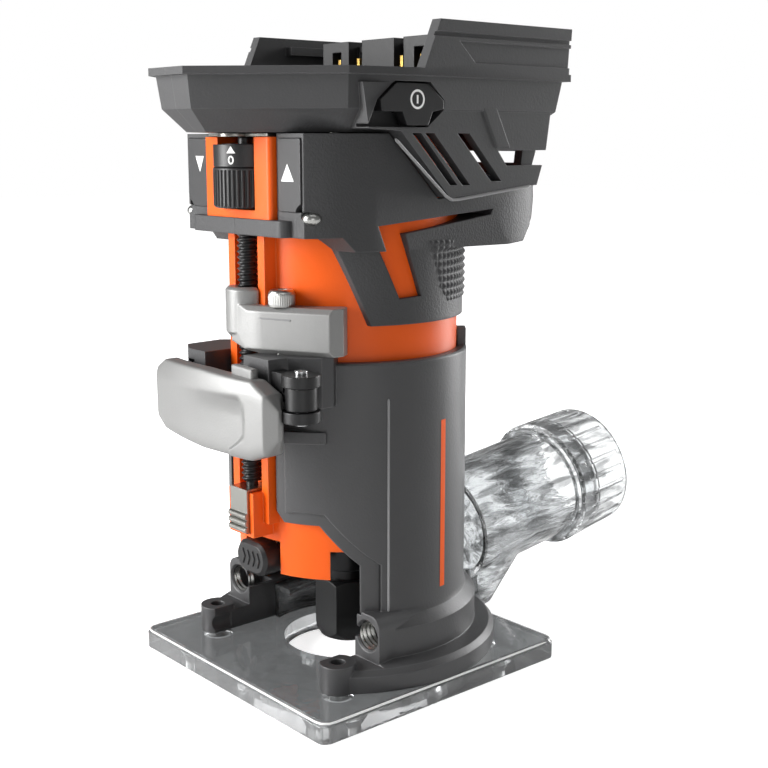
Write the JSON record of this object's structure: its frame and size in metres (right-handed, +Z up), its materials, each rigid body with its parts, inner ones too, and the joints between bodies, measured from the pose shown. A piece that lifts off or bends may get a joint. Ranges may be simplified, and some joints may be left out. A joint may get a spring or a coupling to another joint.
{
  "type": "cordless trim router",
  "caption": "Battery-powered trim router with a clamped fixed base, fine depth dial, clear square sub-base and a swivelling dust port.",
  "frame": {"origin": "centre of the bit opening, on the sole of the sub-base", "axes": "+Z up along the spindle, -Y to the front where the depth dial is, +Y to the dust port, +X to the side of the clamp hinge and power button"},
  "size_m": [0.092, 0.1729, 0.1892],
  "materials": {
    "aluminium_raw": "machined aluminium",
    "black_oxide": "black oxide steel",
    "board_green": "green solder mask",
    "brass_blade": "tin-brass spring contacts",
    "bright_steel": "ground and polished steel",
    "button_black": "black semi-gloss button",
    "can_black": "shrink-sleeved can",
    "cast_satin": "die-cast aluminium, dark satin coat",
    "clear_acrylic": "clear moulded acrylic, polished edges",
    "copper_wire": "enamelled copper wire",
    "dark_plastic": "fine-textured charcoal glass-filled nylon",
    "fan_black": "black nylon",
    "grip_rubber": "soft grey overmould",
    "lamination": "stacked electrical steel",
    "lead_red": "silicone insulated lead",
    "orange_plastic": "fine-textured orange glass-filled nylon",
    "panel_grey": "dark semi-gloss plate",
    "silver_cast": "die-cast zinc, fine silver-grey powder coat",
    "smoke_clear": "clear polycarbonate",
    "spring_steel": "bright spring steel",
    "zinc_screw": "bright zinc plated steel"
  },
  "bodies": {
    "base": {"sub_base": "clear_acrylic", "sub_base_screws": "zinc_screw", "base_casting": "cast_satin", "depth_bracket": "silver_cast", "depth_nut": "brass_blade", "bracket_cap_screw": "zinc_screw", "clamp_bolt": "black_oxide", "clamp_nut": "zinc_screw", "clamp_cam_pad": "button_black", "dust_chute": "smoke_clear", "dust_elbow": "smoke_clear"},
    "clamp_lever": {"clamp_lever": "silver_cast", "clamp_hinge": "black_oxide", "clamp_pivot_pin": "bright_steel"},
    "dust_collar": {"dust_collar": "smoke_clear"},
    "motor_unit": {"motor_case_right": "orange_plastic", "motor_case_left": "orange_plastic", "head_shell_right": "dark_plastic", "head_shell_left": "dark_plastic", "head_screws": "zinc_screw", "grip_overmold_right": "grip_rubber", "grip_overmold_left": "grip_rubber", "chin_screws": "zinc_screw", "arrow_panels": "panel_grey", "dial_frame": "orange_plastic", "dial_clip": "spring_steel", "foot_clip": "spring_steel", "lower_bearing": "bright_steel", "upper_bearing": "bright_steel", "bearing_plate": "aluminium_raw", "stator_core": "lamination", "stator_windings": "copper_wire", "button_switch": "fan_black", "terminal_block": "fan_black", "battery_blades": "brass_blade", "control_board": "board_green", "capacitor": "can_black", "heat_sink": "aluminium_raw", "stator_leads": "lead_red", "lock_spring": "spring_steel"},
    "depth_dial": {"depth_dial": "button_black", "lead_screw": "black_oxide"},
    "zero_ring": {"zero_ring": "button_black"},
    "spindle": {"spindle": "bright_steel", "rotor": "lamination", "cooling_fan": "fan_black", "collet": "bright_steel", "collet_nut": "black_oxide"},
    "power_button": {"power_button": "button_black"},
    "lock_button": {"lock_button": "button_black"}
  },
  "joints": [
    {"name": "clamp_turn", "type": "hinge", "parent": "base", "child": "clamp_lever", "pos_m": [0.0313, -0.0409, 0.09], "axis": [0, 0, 1], "range_deg": [0, 100]},
    {"name": "collar_turn", "type": "hinge", "parent": "base", "child": "dust_collar", "pos_m": [0, 0.058, 0.0345], "axis": [0, 0.9914, 0.1305], "continuous": true},
    {"name": "motor_slide", "type": "slide", "parent": "base", "child": "motor_unit", "axis": [0, 0, 1], "range_m": [-0.0045, 0.028]},
    {"name": "depth_turn", "type": "hinge", "parent": "motor_unit", "child": "depth_dial", "pos_m": [0, -0.0353, 0.146], "axis": [0, 0, 1], "continuous": true},
    {"name": "zero_turn", "type": "hinge", "parent": "depth_dial", "child": "zero_ring", "pos_m": [0, -0.0353, 0.154], "axis": [0, 0, 1], "continuous": true},
    {"name": "spindle_spin", "type": "hinge", "parent": "motor_unit", "child": "spindle", "pos_m": [0, 0, 0.08], "axis": [0, 0, 1], "continuous": true},
    {"name": "power_press", "type": "slide", "parent": "motor_unit", "child": "power_button", "axis": [-1, 0, 0], "range_m": [0, 0.0008], "stiffness_N_per_m": 1500, "springref_m": -0.0006},
    {"name": "lock_press", "type": "slide", "parent": "motor_unit", "child": "lock_button", "axis": [0, 1, 0], "range_m": [0, 0.0044], "stiffness_N_per_m": 500, "springref_m": -0.002, "deforming": ["lock_spring"]}
  ],
  "couplings": [
    {"joint": "depth_turn", "follows": "motor_slide", "rad_per_m": 3957.9}
  ]
}
